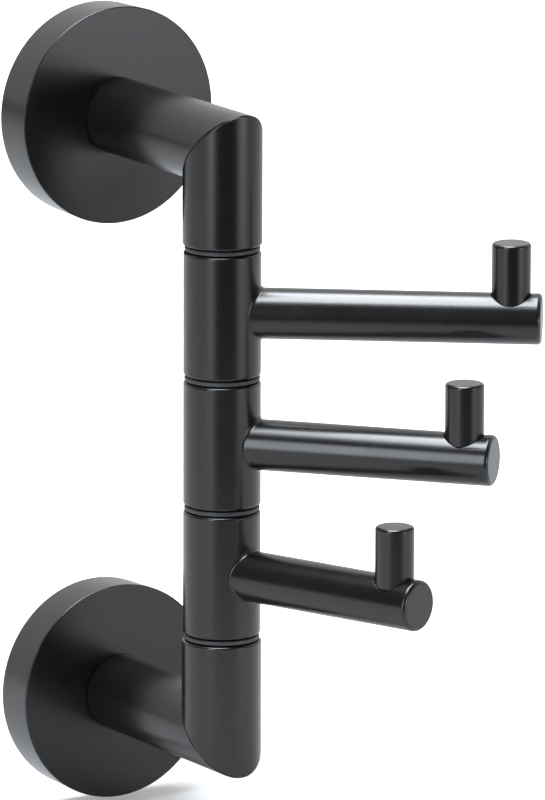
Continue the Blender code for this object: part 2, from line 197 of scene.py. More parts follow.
class Lamp(NamedTuple):
    """A soft box's place round the rack, in degrees and metres, its size and its setting."""

    azimuth: float
    elevation: float
    distance: float
    width: float
    height: float
    setting: str


# Azimuth 0 is level towards the camera and grows towards the camera's right
LAMPS = {
    "top_box": Lamp(262, 85, 1.4, 1.25, 0.65, "top_light"),
    "wide_box": Lamp(262, 85, 1.45, 1.80, 1.05, "wide_light"),
    "left_box": Lamp(-31, 13, 1.4, 0.40, 0.90, "left_light"),
    "right_box": Lamp(58, 2, 1.4, 0.60, 0.32, "right_light"),
}
# A little cool
LAMP_COLOUR = (0.945, 1.0, 1.055)


def select_only(*pieces):
    """Leaves just these objects selected, with the first one active."""
    bpy.ops.object.select_all(action="DESELECT")
    for piece in pieces:
        piece.select_set(True)
    bpy.context.view_layer.objects.active = pieces[0]


@contextmanager
def shaping(piece, mode="EDGE"):
    """Edit mode on one piece, with nothing selected."""
    select_only(piece)
    bpy.ops.object.mode_set(mode="EDIT")
    bpy.ops.mesh.select_mode(type=mode)
    bpy.ops.mesh.select_all(action="DESELECT")
    yield
    bpy.ops.object.mode_set(mode="OBJECT")


def choose(kind, test):
    """Selects just those verts, edges or faces of the edited piece that pass the test."""
    bpy.ops.mesh.select_all(action="DESELECT")
    mesh = bpy.context.edit_object.data
    shape = bmesh.from_edit_mesh(mesh)
    for part in getattr(shape, kind):
        if test(part):
            part.select_set(True)
    shape.select_flush_mode()
    bmesh.update_edit_mesh(mesh)


def ring(radius, height):
    """A test for the edges that run round one ring."""
    return lambda edge: all(
        abs(vert.co.z - height) < NEAR and abs(hypot(vert.co.x, vert.co.y) - radius) < NEAR
        for vert in edge.verts
    )


def flat_at(*heights):
    """A test for the level faces at these heights."""
    return lambda face: any(
        all(abs(vert.co.z - height) < NEAR for vert in face.verts) for height in heights
    )


def add_bar(name, radius, low, high, facets):
    """A round bar along Z."""
    bpy.ops.object.select_all(action="DESELECT")
    bpy.ops.mesh.primitive_cylinder_add(
        vertices=facets, radius=radius, depth=high - low, location=(0, 0, (low + high) / 2)
    )
    bar = bpy.context.object
    bar.name = bar.data.name = name
    bpy.ops.object.transform_apply(location=True, rotation=True, scale=True)
    return bar


def add_slot(width, travel, low, high, facets):
    """A cutter with round ends, longer than it is wide by its travel along Y."""
    slot = add_bar("slot", width / 2, low, high, facets)
    with shaping(slot, "VERT"):
        for way in (-1, 1):
            choose("verts", lambda vert: way * vert.co.y > NEAR)
            bpy.ops.transform.translate(value=(0, way * travel / 2, 0))
    return slot


def copy_piece(piece, name, shift):
    """A copy with its own mesh, moved by a distance."""
    select_only(piece)
    bpy.ops.object.duplicate(linked=False)
    copy = bpy.context.object
    copy.name = copy.data.name = name
    settle(copy, Matrix.Translation(shift))
    return copy


def round_rings(piece, width, steps, *rings):
    """Rounds the edges that run round these rings, each a radius and a height."""
    tests = [ring(*one) for one in rings]
    with shaping(piece):
        choose("edges", lambda edge: any(test(edge) for test in tests))
        bpy.ops.mesh.bevel(offset=width, segments=steps, affect="EDGES", clamp_overlap=True)


def open_bore(piece, outer, bore, low, high):
    """Opens a bore from end to end."""
    with shaping(piece, "FACE"):
        choose("faces", flat_at(low, high))
        bpy.ops.mesh.inset(thickness=outer - bore, use_individual=True)
        bpy.ops.mesh.bridge_edge_loops()


def sink_hole(piece, outer, hole, top, floor):
    """Sinks a round hole from a level end face down to its floor."""
    with shaping(piece, "FACE"):
        choose("faces", flat_at(top))
        bpy.ops.mesh.inset(thickness=outer - hole)
        bpy.ops.mesh.extrude_region_move(
            TRANSFORM_OT_translate={"value": (0, 0, floor - top)}
        )


def cut(piece, cutter):
    """Cuts one object out of a piece, and removes it."""
    modifier = piece.modifiers.new("cut", "BOOLEAN")
    modifier.operation = "DIFFERENCE"
    modifier.object = cutter
    select_only(piece)
    bpy.ops.object.modifier_apply(modifier=modifier.name)
    bpy.data.objects.remove(cutter, do_unlink=True)


def drill(piece, place, radius, start, end, facets, rim=0, steps=2):
    """Drills a hole along a place's Z, and rounds the mouth where it comes out at its end."""
    hole = add_bar("drill", radius, start, end + OVERRUN, facets)
    settle(hole, place)
    cut(piece, hole)
    if not rim:
        return
    back = place.inverted()

    def at_mouth(edge):
        points = [back @ vert.co for vert in edge.verts]
        return all(
            abs(hypot(point.x, point.y) - radius) < NEAR and point.z > start + NEAR
            for point in points
        )

    with shaping(piece):
        choose("edges", at_mouth)
        bpy.ops.mesh.remove_doubles(threshold=rim * MERGED_SHARE)
        bpy.ops.mesh.bevel(offset=rim, segments=steps, affect="EDGES", clamp_overlap=False)


def settle(piece, place):
    """Moves a piece from its own frame to its place."""
    piece.matrix_world = place
    select_only(piece)
    bpy.ops.object.transform_apply(location=True, rotation=True, scale=True)


def solid_points(node, place):
    """A solid's points in a place's own frame."""
    back = place.inverted()
    return [back @ vert.co for vert in frame["nodes"][node].data.vertices]


def measure(node, place):
    """A solid's radius about a place's Z, and its lowest and highest point along that Z."""
    points = solid_points(node, place)
    heights = [point.z for point in points]
    return max(hypot(point.x, point.y) for point in points), min(heights), max(heights)


def narrowest(node, place):
    """Radius of the solid's bore about a place's Z."""
    return min(hypot(point.x, point.y) for point in solid_points(node, place))


def dress(piece, node, body, slot):
    """Smooths a finished piece, gives it its finish and lets it stand for its solid."""
    select_only(piece)
    bpy.ops.object.shade_smooth_by_angle(angle=SMOOTH_ANGLE)
    normals = piece.modifiers.new("normals", "WEIGHTED_NORMAL")
    normals.keep_sharp = True
    bpy.ops.object.modifier_apply(modifier=normals.name)
    piece.data.materials.clear()
    piece.data.materials.append(finish(slot))
    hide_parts(node)
    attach(piece, body)


def dress_alike(piece, slot, rows):
    """Copies a finished piece for each row after the first, and dresses them all.

    A row is a solid's name, its body, and how far it lies from the first row's solid.
    """
    ending = piece.name.removeprefix(rows[0][0])
    pieces = [piece]
    for node, _, shift in rows[1:]:
        pieces.append(copy_piece(piece, node + ending, shift))
    for (node, body, _), made in zip(rows, pieces):
        dress(made, node, body, slot)


def middle(node):
    """The middle of a solid's box."""
    low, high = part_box(node)
    return (low + high) / 2


def rosette_place(end):
    """The middle of a rosette's back, with Z out of the wall."""
    centre = middle(f"{end}_rosette")
    return Matrix.Translation((centre.x, 0, centre.z)) @ OUT_OF_WALL


def set_screw_place(end):
    """A rosette's axis above its set screw, with Z downwards."""
    centre = middle(f"{end}_rosette_set_screw")
    centre.z = rosette_place(end).translation.z
    return Matrix.Translation(centre) @ DOWNWARDS


def lock_screw_place():
    """The spindle's axis at its lock screw, with Z towards the wall."""
    height = middle("spindle_lock_screw").z
    return SPINDLE_AXIS @ Matrix.Translation((0, 0, height)) @ TO_WALL


def hook_turn(hook):
    """A hook's place on the spindle, with -Y along its arm."""
    barrel = middle(f"{hook}_barrel")
    across = middle(f"{hook}_peg") - barrel
    turn = Matrix.Rotation(atan2(across.x, -across.y), 4, "Z")
    return SPINDLE_AXIS @ Matrix.Translation((0, 0, barrel.z)) @ turn


def peg_place(hook):
    """The peg's axis at the height of its arm's axis."""
    peg = middle(f"{hook}_peg")
    return Matrix.Translation((peg.x, peg.y, middle(f"{hook}_arm").z))


def peg_distance(hook):
    """From the spindle's axis to the peg's axis."""
    across = peg_place(hook).translation - SPINDLE_AXIS.translation
    return hypot(across.x, across.y)


def elbow_cut(piece, corner, slope, edge, details):
    """Mitres a bar at 45 degrees and rounds the new rim. The kept part lies along the slope."""
    slope = slope.normalized()
    corner = corner - details.mitre_closing * slope
    with shaping(piece):
        bpy.ops.mesh.select_all(action="SELECT")
        bpy.ops.mesh.bisect(plane_co=corner, plane_no=slope, use_fill=True, clear_inner=True)
        choose(
            "edges",
            lambda e: all(abs((vert.co - corner).dot(slope)) < NEAR for vert in e.verts),
        )
        bpy.ops.mesh.bevel(
            offset=edge, segments=details.edge_steps, affect="EDGES", clamp_overlap=True
        )


def end_rows(ending):
    """Rows of the pieces that the rack has at both ends, for dress_alike."""
    first = rosette_place(ENDS[0]).translation
    return [
        (f"{end}_{ending}", RACK, rosette_place(end).translation - first) for end in ENDS
    ]


def stack_drop(node, first):
    """How far a piece of the stack lies from the first of its kind."""
    return (0, 0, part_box(node)[0].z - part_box(first)[0].z)


def make_wall_plates(details):
    """The cast plates: a rim, the screw's pocket, two sunk slots and the set screw's dimple."""
    first = ENDS[0]
    place = rosette_place(first)
    radius, back, front = measure(f"{first}_wall_plate", place)
    head, crown, _ = measure(f"{first}_standoff_screw", place)
    pocket = head + details.seat_gap
    plate = add_bar(f"{first}_wall_plate_casting", radius, back, front, details.facets)
    sink_hole(plate, radius, pocket, front, crown - details.seat_gap)
    round_rings(plate, details.plate_edge, 1, (radius, front))
    round_rings(plate, details.pocket_edge, details.edge_steps // 2, (pocket, front))
    slots = (
        (details.slot_width, back - OVERRUN),
        (details.sink_width, details.sink_floor),
    )
    for side in (-1, 1):
        for width, floor in slots:
            slot = add_slot(
                width, details.slot_travel, floor, front + OVERRUN, details.facets // 2
            )
            settle(slot, Matrix.Translation((side * (pocket + radius) / 2, 0, 0)))
            cut(plate, slot)
    settle(plate, place)
    screw, _, _ = measure(f"{first}_rosette_set_screw", set_screw_place(first))
    drill(
        plate, set_screw_place(first), screw + details.seat_gap, radius - details.dimple_depth,
        radius, details.facets // 2,
    )
    dress_alike(plate, "cast_zinc", end_rows("wall_plate"))


def make_rosettes(details):
    """The cups: draft on the side, hollow behind, a hole for the standoff's screw in front."""
    first = ENDS[0]
    place = rosette_place(first)
    name = f"{first}_rosette"
    outer, back, front = measure(name, place)
    screw_hole = narrowest(name, place)
    cup = add_bar(f"{first}_rosette_shell", outer, back, front, details.facets)
    foot = outer - details.cup_draft
    floor = front - details.cup_face
    with shaping(cup, "FACE"):
        choose("faces", flat_at(back))
        bpy.ops.transform.resize(
            value=(foot / outer, foot / outer, 1), center_override=(0, 0, back)
        )
        bpy.ops.mesh.inset(thickness=details.cup_wall)
        bpy.ops.mesh.extrude_region_move(TRANSFORM_OT_translate={"value": (0, 0, floor - back)})
        bpy.ops.mesh.inset(thickness=foot - details.cup_wall - screw_hole)
        choose("faces", flat_at(front))
        bpy.ops.mesh.inset(thickness=outer - screw_hole)
        choose(
            "faces",
            lambda face: flat_at(front, floor)(face)
            and all(hypot(vert.co.x, vert.co.y) < screw_hole + NEAR for vert in face.verts),
        )
        bpy.ops.mesh.bridge_edge_loops()
    round_rings(cup, details.rosette_edge, details.edge_steps, (outer, front))
    rims = ((foot, back), (foot - details.cup_wall, back))
    round_rings(cup, details.rosette_back_edge, details.edge_steps // 2, *rims)
    settle(cup, place)
    screw, _, _ = measure(f"{first}_rosette_set_screw", set_screw_place(first))
    inside = foot - details.cup_wall - OVERRUN
    drill(
        cup, set_screw_place(first), screw + NEAR, inside, outer, details.facets // 2,
        details.screw_rim,
    )
    dress_alike(cup, "black_powder_coat", end_rows("rosette"))


def make_set_screw(name, place, details):
    """A headless screw: both ends chamfered, a cup point, and a six-sided socket."""
    radius, tip, head = measure(name, place)
    screw = add_bar(f"{name}_turning", radius, tip, head, details.facets // 2)
    round_rings(screw, details.grub_edge, 1, (radius, tip), (radius, head))
    with shaping(screw, "FACE"):
        choose("faces", flat_at(tip))
        bpy.ops.mesh.inset(thickness=details.grub_edge / 2)
        bpy.ops.mesh.inset(thickness=details.grub_edge, depth=-details.grub_edge)
    corner = details.grub_key * radius / cos(pi / 6)
    socket = add_bar("socket", corner, head - details.grub_key_depth, head + OVERRUN, 6)
    cut(screw, socket)
    settle(screw, place)
    return screw


def make_set_screws(details):
    """The rosettes' set screws, one modelled and one copied, and the spindle's lock screw."""
    rows = end_rows("rosette_set_screw")
    screw = make_set_screw(rows[0][0], set_screw_place(ENDS[0]), details)
    dress_alike(screw, "blackened_steel", rows)
    name = "spindle_lock_screw"
    dress(make_set_screw(name, lock_screw_place(), details), name, RACK, "blackened_steel")


def make_standoff(end, details):
    """The bar from the rosette's face to the mitre, with the screw's hole in its root."""
    place = rosette_place(end)
    name = f"{end}_standoff"
    radius, root, tip = measure(name, place)
    bar = add_bar(f"{end}_standoff_bar", radius, root, tip + OVERRUN, details.facets)
    _, _, screw_tip = measure(f"{end}_standoff_screw", place)
    sink_hole(bar, radius, narrowest(name, place), root, screw_tip + OVERRUN)
    round_rings(bar, details.standoff_edge, details.edge_steps // 2, (radius, root))
    settle(bar, place)
    corner = Vector((0, place.translation.y - (tip - radius), place.translation.z))
    elbow_cut(bar, corner, Vector((0, 1, UPWARDS[end])), details.standoff_edge, details)
    dress(bar, name, RACK, "black_powder_coat")


def make_end_post(end, details):
    """The upright that closes the stack, mitred to its standoff and bored for the spindle."""
    name = f"{end}_end_post"
    radius, low, high = measure(name, SPINDLE_AXIS)
    up = UPWARDS[end]
    square, tip = (low, high) if up > 0 else (high, low)
    bottom, top = min(square, tip + up * OVERRUN), max(square, tip + up * OVERRUN)
    post = add_bar(f"{end}_end_post_bar", radius, bottom, top, details.facets)
    bore = narrowest(name, SPINDLE_AXIS)
    _, spindle_low, spindle_high = measure("spindle", SPINDLE_AXIS)
    floor = (spindle_high if up > 0 else spindle_low) + up * OVERRUN / 2
    sink_hole(post, radius, bore, square, floor)
    round_rings(post, details.post_edge, details.edge_steps, (radius, square))
    settle(post, SPINDLE_AXIS)
    corner = SPINDLE_AXIS @ Vector((0, 0, tip - up * radius))
    elbow_cut(post, corner, Vector((0, -1, -up)), details.post_edge, details)
    if end == "lower":
        screw, _, _ = measure("spindle_lock_screw", lock_screw_place())
        drill(
            post, lock_screw_place(), screw + NEAR, bore, radius, details.facets // 2,
            details.screw_rim,
        )
    dress(post, name, RACK, "black_powder_coat")


def make_washers(details):
    """The thin rings of the stack: one is modelled and the others are its copies."""
    first = WASHERS[0]
    radius, low, high = measure(first, SPINDLE_AXIS)
    washer = add_bar(f"{first}_ring", radius, low, high, details.facets)
    open_bore(washer, radius, narrowest(first, SPINDLE_AXIS), low, high)
    rims = ((radius, low), (radius, high))
    round_rings(washer, details.washer_edge, details.edge_steps // 2, *rims)
    settle(washer, SPINDLE_AXIS)
    rows = [(name, RACK, stack_drop(name, first)) for name in WASHERS]
    dress_alike(washer, "black_nylon", rows)


def make_barrels(details):
    """The sleeves of the hooks: one is modelled and the others are its copies."""
    first = f"{HOOKS[0]}_barrel"
    radius, low, high = measure(first, SPINDLE_AXIS)
    barrel = add_bar(f"{first}_sleeve", radius, low, high, details.facets)
    bush_radius, _, _ = measure(f"{first}_top_bush", SPINDLE_AXIS)
    open_bore(barrel, radius, bush_radius + NEAR, low, high)
    rims = ((radius, low), (radius, high))
    round_rings(barrel, details.barrel_edge, details.edge_steps, *rims)
    settle(barrel, SPINDLE_AXIS)
    rows = [
        (f"{hook}_barrel", f"{hook}_hook", stack_drop(f"{hook}_barrel", first)) for hook in HOOKS
    ]
    dress_alike(barrel, "black_powder_coat", rows)


def fillet_point(turn, along, arm, barrel, fillet):
    """A point of the fillet between an arm along Z and a barrel along Y.

    A ball of the fillet's radius rolls round the joint. The point lies on the ball, from where
    it touches the arm, at 0 along, to where it touches the barrel, at 1.
    """
    across, up = (arm + fillet) * cos(turn), (arm + fillet) * sin(turn)
    ball = Vector((across, up, sqrt((barrel + fillet) ** 2 - across**2)))
    to_arm = Vector((-cos(turn), -sin(turn), 0))
    to_barrel = Vector((-ball.x, 0, -ball.z)).normalized()
    return ball + fillet * to_arm.slerp(to_barrel, along)


def flare_root(arm_bar, root, arm, barrel, details):
    """Carries an arm's root round the fillet onto its barrel, and closes it just inside."""
    steps = 2 * details.edge_steps
    with shaping(arm_bar, "VERT"):
        choose("faces", flat_at(root))
        bpy.ops.mesh.delete(type="ONLY_FACE")
        choose("verts", lambda vert: abs(vert.co.z - root) < NEAR)
        for step in range(steps + 2):
            if step:
                bpy.ops.mesh.select_mode(type="EDGE")
                bpy.ops.mesh.extrude_edges_move()
                bpy.ops.mesh.select_mode(type="VERT")
            shape = bmesh.from_edit_mesh(arm_bar.data)
            for vert in shape.verts:
                if not vert.select:
                    continue
                turn = atan2(vert.co.y, vert.co.x)
                point = fillet_point(turn, min(step / steps, 1), arm, barrel, details.fillet)
                if step > steps:
                    point.x, point.z = point.x * (1 - OVERRUN / barrel), point.z - OVERRUN
                vert.co = point
            bmesh.update_edit_mesh(arm_bar.data)
        bpy.ops.mesh.select_mode(type="EDGE")
        bpy.ops.mesh.edge_face_add()
        bpy.ops.mesh.poke()
        bpy.ops.mesh.select_all(action="SELECT")
        bpy.ops.mesh.normals_make_consistent(inside=False)


def make_arm(hook, details):
    """The arm: rounded at its end, socketed for the peg and flared onto the barrel."""
    place = hook_turn(hook) @ OUT_OF_WALL
    name = f"{hook}_arm"
    _, _, tip = measure(name, place)
    low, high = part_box(name)
    arm = (high.z - low.z) / 2
    barrel, _, _ = measure(f"{hook}_barrel", SPINDLE_AXIS)
    root = barrel + 4 * details.fillet
    bar = add_bar(f"{hook}_arm_bar", arm, root, tip, details.facets)
    round_rings(bar, details.arm_edge, details.edge_steps, (arm, tip))
    peg, _, _ = measure(f"{hook}_peg", peg_place(hook))
    drill(
        bar, Matrix.Translation((0, 0, peg_distance(hook))) @ TO_WALL, peg + details.socket_gap,
        details.socket_floor * arm, arm, details.facets, details.socket_rim, details.edge_steps,
    )
    flare_root(bar, root, arm, barrel, details)
    settle(bar, place)
    dress(bar, name, f"{hook}_hook", "black_powder_coat")


def make_pegs(details):
    """The pegs: one is modelled and the others are its copies."""
    first = HOOKS[0]
    place = peg_place(first)
    radius, _, top = measure(f"{first}_peg", place)
    low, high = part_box(f"{first}_arm")
    foot = details.socket_floor * (high.z - low.z) / 2 + details.socket_gap
    peg = add_bar(f"{first}_peg_pin", radius, foot, top, details.facets)
    round_rings(peg, details.peg_edge, details.edge_steps, (radius, top))
    settle(peg, place)
    rows = [
        (f"{hook}_peg", f"{hook}_hook", peg_place(hook).translation - place.translation)
        for hook in HOOKS
    ]
    dress_alike(peg, "black_powder_coat", rows)


def new_group(name, inputs, outputs):
    """An empty shader node group. Inputs are names and starting values, outputs are names."""
    tree = bpy.data.node_groups.new(name, "ShaderNodeTree")
    for label, value in inputs.items():
        kind = "NodeSocketVector" if value is None else "NodeSocketFloat"
        socket = tree.interface.new_socket(label, in_out="INPUT", socket_type=kind)
        if value is not None:
            socket.default_value = value
    for label in outputs:
        tree.interface.new_socket(label, in_out="OUTPUT", socket_type="NodeSocketFloat")
    return tree, tree.nodes.new("NodeGroupInput"), tree.nodes.new("NodeGroupOutput")


def add_node(tree, kind, settings=None, **inputs):
    """A node with its settings, and its inputs set to a value or joined to a socket.

    An input goes by its name, or by its number, as in i6.
    """
    node = tree.nodes.new(kind)
    for name, value in (settings or {}).items():
        setattr(node, name, value)
    for name, value in inputs.items():
        socket = node.inputs[int(name[1:]) if name[1:].isdigit() else name.replace("_", " ")]
        if isinstance(value, bpy.types.NodeSocket):
            tree.links.new(value, socket)
        else:
            socket.default_value = value
    return node


def reckon(tree, operation, first, second=0.0, third=0.0):
    """One sum in a node tree."""
    settings = {"operation": operation}
    return add_node(tree, "ShaderNodeMath", settings, i0=first, i1=second, i2=third).outputs[0]


def spread(tree, value, low, high, to_low, to_high, smooth=False):
    """Moves a value from one range to another, and keeps it there."""
    settings = {"interpolation_type": "SMOOTHSTEP" if smooth else "LINEAR"}
    ends = {"From_Min": low, "From_Max": high, "To_Min": to_low, "To_Max": to_high}
    return add_node(tree, "ShaderNodeMapRange", settings, Value=value, **ends).outputs["Result"]


# Nearly all of a noise lies between these
NOISE_LOW, NOISE_HIGH = 0.3, 0.7
# The smears on a turned bar are this share as fine as its grooves
SMEAR_SHARE = 0.1


def make_grain_group():
    """Fine relief from two sizes of soft bumps."""
    sizes = {"Vector": None, "Coarse Size": 0.001, "Fine Size": 0.0003, "Fine Share": 0.3}
    tree, given, result = new_group("Fine Grain", sizes, ["Height"])
    layers = []
    for size in ("Coarse Size", "Fine Size"):
        scale = reckon(tree, "DIVIDE", 1.0, given.outputs[size])
        noise = add_node(
            tree, "ShaderNodeTexNoise", Vector=given.outputs["Vector"], Scale=scale, Detail=2.0
        )
        layers.append(noise.outputs["Fac"])
    step = reckon(tree, "SUBTRACT", layers[1], layers[0])
    height = reckon(tree, "MULTIPLY_ADD", step, given.outputs["Fine Share"], layers[0])
    tree.links.new(height, result.inputs["Height"])
    return tree


def make_patch_group():
    """A value that wanders slowly over the surface between a low and a high one."""
    sizes = {"Vector": None, "Size": 0.02, "Low": 0.0, "High": 1.0}
    tree, given, result = new_group("Wandering Value", sizes, ["Value"])
    scale = reckon(tree, "DIVIDE", 1.0, given.outputs["Size"])
    noise = add_node(
        tree, "ShaderNodeTexNoise", Vector=given.outputs["Vector"], Scale=scale, Detail=3.0
    )
    value = spread(
        tree, noise.outputs["Fac"], NOISE_LOW, NOISE_HIGH, given.outputs["Low"],
        given.outputs["High"],
    )
    tree.links.new(value, result.inputs["Value"])
    return tree


def make_speck_group():
    """A mask of tiny round specks, in some of the cells of a loose grid."""
    sizes = {"Vector": None, "Spacing": 0.005, "Radius": 0.0002, "Filled Share": 0.1}
    tree, given, result = new_group("Stray Specks", sizes, ["Mask"])
    scale = reckon(tree, "DIVIDE", 1.0, given.outputs["Spacing"])
    cells = add_node(
        tree, "ShaderNodeTexVoronoi", Vector=given.outputs["Vector"], Scale=scale
    )
    reach = reckon(tree, "MULTIPLY", cells.outputs["Distance"], given.outputs["Spacing"])
    near = reckon(tree, "LESS_THAN", reach, given.outputs["Radius"])
    chance = add_node(tree, "ShaderNodeSeparateColor", Color=cells.outputs["Color"])
    filled = reckon(tree, "LESS_THAN", chance.outputs["Red"], given.outputs["Filled Share"])
    tree.links.new(reckon(tree, "MULTIPLY", near, filled), result.inputs["Mask"])
    return tree


def make_turning_group():
    """The fine grooves that a lathe leaves round a bar along Z."""
    sizes = {"Vector": None, "Pitch": 0.0002, "Wander": 0.1}
    tree, given, result = new_group("Turning Grooves", sizes, ["Height"])
    along = add_node(tree, "ShaderNodeSeparateXYZ", Vector=given.outputs["Vector"])
    scale = reckon(tree, "DIVIDE", 1.0, given.outputs["Pitch"])
    grooves = add_node(
        tree, "ShaderNodeTexNoise", {"noise_dimensions": "1D"}, W=along.outputs["Z"],
        Scale=scale, Detail=4.0,
    )
    smears = add_node(
        tree, "ShaderNodeTexNoise", Vector=given.outputs["Vector"],
        Scale=reckon(tree, "MULTIPLY", scale, SMEAR_SHARE), Detail=2.0,
    )
    height = reckon(
        tree, "MULTIPLY_ADD", smears.outputs["Fac"], given.outputs["Wander"],
        grooves.outputs["Fac"],
    )
    tree.links.new(height, result.inputs["Height"])
    return tree


class Surface(NamedTuple):
    """How a finish is textured: sizes and heights in metres, and shares of its own values."""

    coarse: float
    fine: float
    fine_share: float
    relief: float
    patch: float
    gloss_spread: float
    tone_spread: float
    metallic: float = 0.0
    grooves: float = 0.0
    dust: float = 0.0


def use_group(tree, name, **inputs):
    """Places a shared group in a material, made when it is first asked for."""
    makers = {
        "Fine Grain": make_grain_group,
        "Wandering Value": make_patch_group,
        "Stray Specks": make_speck_group,
        "Turning Grooves": make_turning_group,
    }
    group = bpy.data.node_groups.get(name) or makers[name]()
    return add_node(tree, "ShaderNodeGroup", {"node_tree": group}, **inputs).outputs[0]


def colour_surface(tree, shader, place, base, surface):
    """The finish's colour wanders a little, and may have stray dust on it."""
    tone = use_group(
        tree, "Wandering Value", Vector=place, Size=surface.patch,
        Low=1 - surface.tone_spread, High=1 + surface.tone_spread,
    )
    shade = add_node(tree, "ShaderNodeCombineColor", Red=tone, Green=tone, Blue=tone)
    mix = {"data_type": "RGBA", "blend_type": "MULTIPLY"}
    tinted = add_node(
        tree, "ShaderNodeMix", mix, i0=1.0, i6=(*base, 1), i7=shade.outputs["Color"]
    ).outputs[2]
    if surface.dust:
        dust = use_group(
            tree, "Stray Specks", Vector=place, Spacing=DUST_SPACING, Radius=DUST_RADIUS,
            Filled_Share=surface.dust,
        )
        tinted = add_node(
            tree, "ShaderNodeMix", {"data_type": "RGBA"}, i0=dust, i6=tinted,
            i7=(*DUST_COLOUR, 1),
        ).outputs[2]
    tree.links.new(tinted, shader.inputs["Base Color"])


def gloss_surface(tree, shader, place, grain, roughness, surface):
    """The finish's roughness wanders a little, and changes with its grain."""
    gloss = use_group(
        tree, "Wandering Value", Vector=place, Size=surface.patch / 2,
        Low=roughness * (1 - surface.gloss_spread), High=roughness * (1 + surface.gloss_spread),
    )
    fleck = FLECK * roughness
    flecks = spread(tree, grain, NOISE_LOW, NOISE_HIGH, -fleck, fleck)
    tree.links.new(reckon(tree, "ADD", gloss, flecks), shader.inputs["Roughness"])


def raise_surface(tree, shader, place, grain, surface, turn):
    """The finish's grain, and the grooves of a turned bar along the turned Z, are a bump."""
    height = grain
    if surface.grooves:
        along = add_node(tree, "ShaderNodeMapping", Vector=place, Rotation=turn)
        grooves = use_group(
            tree, "Turning Grooves", Vector=along.outputs["Vector"], Pitch=surface.grooves
        )
        height = reckon(tree, "MULTIPLY_ADD", grain, surface.fine_share, grooves)
    bump = add_node(
        tree, "ShaderNodeBump", Height=height, Distance=surface.relief, Strength=1.0
    )
    tree.links.new(bump.outputs["Normal"], shader.inputs["Normal"])


def build_finish(name, base, roughness, surface, turn=(0, 0, 0)):
    """One finish as a material."""
    material = bpy.data.materials.new(name)
    material.use_nodes = True
    tree = material.node_tree
    shader = tree.nodes["Principled BSDF"]
    shader.inputs["Metallic"].default_value = surface.metallic
    place = add_node(tree, "ShaderNodeTexCoord").outputs["Object"]
    grain = use_group(
        tree, "Fine Grain", Vector=place, Coarse_Size=surface.coarse, Fine_Size=surface.fine,
        Fine_Share=surface.fine_share,
    )
    colour_surface(tree, shader, place, base, surface)
    gloss_surface(tree, shader, place, grain, roughness, surface)
    raise_surface(tree, shader, place, grain, surface, turn)
    return material


# Stray dust on a finish, and how far the grain changes the gloss, as a share of it
DUST_SPACING, DUST_RADIUS, DUST_COLOUR = 0.006, 0.00012, (0.11, 0.11, 0.11)
FLECK = 0.08

SURFACES = {
    "black_powder_coat": Surface(
        coarse=0.0012, fine=0.00035, fine_share=0.35, relief=0.0000022, patch=0.030,
        gloss_spread=0.05, tone_spread=0.12, dust=0.04,
    ),
    "black_nylon": Surface(
        coarse=0.0006, fine=0.00018, fine_share=0.50, relief=0.000012, patch=0.008,
        gloss_spread=0.10, tone_spread=0.20, dust=0.1,
    ),
    "white_acetal": Surface(
        coarse=0.0020, fine=0.00050, fine_share=0.30, relief=0.000003, patch=0.010,
        gloss_spread=0.08, tone_spread=0.02,
    ),
    "stainless_steel": Surface(
        coarse=0.0010, fine=0.00030, fine_share=0.20, relief=0.000002, patch=0.012,
        gloss_spread=0.10, tone_spread=0.05, metallic=1.0, grooves=0.0002,
    ),
    "blackened_steel": Surface(
        coarse=0.0008, fine=0.00025, fine_share=0.40, relief=0.000004, patch=0.006,
        gloss_spread=0.12, tone_spread=0.20, metallic=1.0,
    ),
    "cast_zinc": Surface(
        coarse=0.0016, fine=0.00040, fine_share=0.45, relief=0.000020, patch=0.014,
        gloss_spread=0.12, tone_spread=0.10, metallic=1.0,
    ),
}


def finish(slot, turn=(0, 0, 0), label=""):
    """The finish of a material slot, made when it is first asked for."""
    name = f"{slot}_finish{label}"
    look = bpy.context.scene.rack_finish
    base, roughness = getattr(look, slot), getattr(look, f"{slot}_roughness")
    known = bpy.data.materials.get(name)
    return known or build_finish(name, base, roughness, SURFACES[slot], turn)


def finish_inner_parts():
    """Finishes the solids inside the rack, which keep their shape."""
    slots = {row["node"]: row["material_slot"] for row in frame["record"]["subparts"]}
    for name, node in frame["nodes"].items():
        if node.hide_render:
            continue
        turn, label = (0, 0, 0), ""
        if name.endswith("_arm_stud"):
            hook = name.removesuffix("_arm_stud")
            turn = (hook_turn(hook) @ OUT_OF_WALL).inverted().to_euler()
            label = f"_{hook}"
        node.material_slots[0].material = finish(slots[name], turn, label)


def towards(azimuth, elevation):
    """A direction from the rack, with azimuth 0 level towards the camera."""
    turn = radians(azimuth) - CAMERA_YAW
    flat = Vector((sin(turn), -cos(turn), 0))
    return cos(radians(elevation)) * flat + sin(radians(elevation)) * Vector((0, 0, 1))


def make_camera(studio):
    """Sets the camera so that the stack shows where it does in the picture."""
    bpy.ops.object.camera_add()
    camera = bpy.context.object
    camera.name = camera.data.name = "picture_camera"
    axes = (
        Matrix.Rotation(-CAMERA_YAW, 4, "Z")
        @ Matrix.Rotation(pi / 2 - CAMERA_PITCH, 4, "X")
        @ Matrix.Rotation(-CAMERA_ROLL, 4, "Z")
    )
    offset = (STACK_PIXEL - PICTURE / 2) / PICTURE_FOCUS
    to_stack = studio.distance * Vector((offset.x, -offset.y, -1))
    camera.matrix_world = Matrix.Translation(STACK_MIDDLE - axes @ to_stack) @ axes
    camera.data.lens = PICTURE_FOCUS / PICTURE.y * camera.data.sensor_width
    bpy.context.scene.camera = camera


# What shows as white
WHITE = 1.0
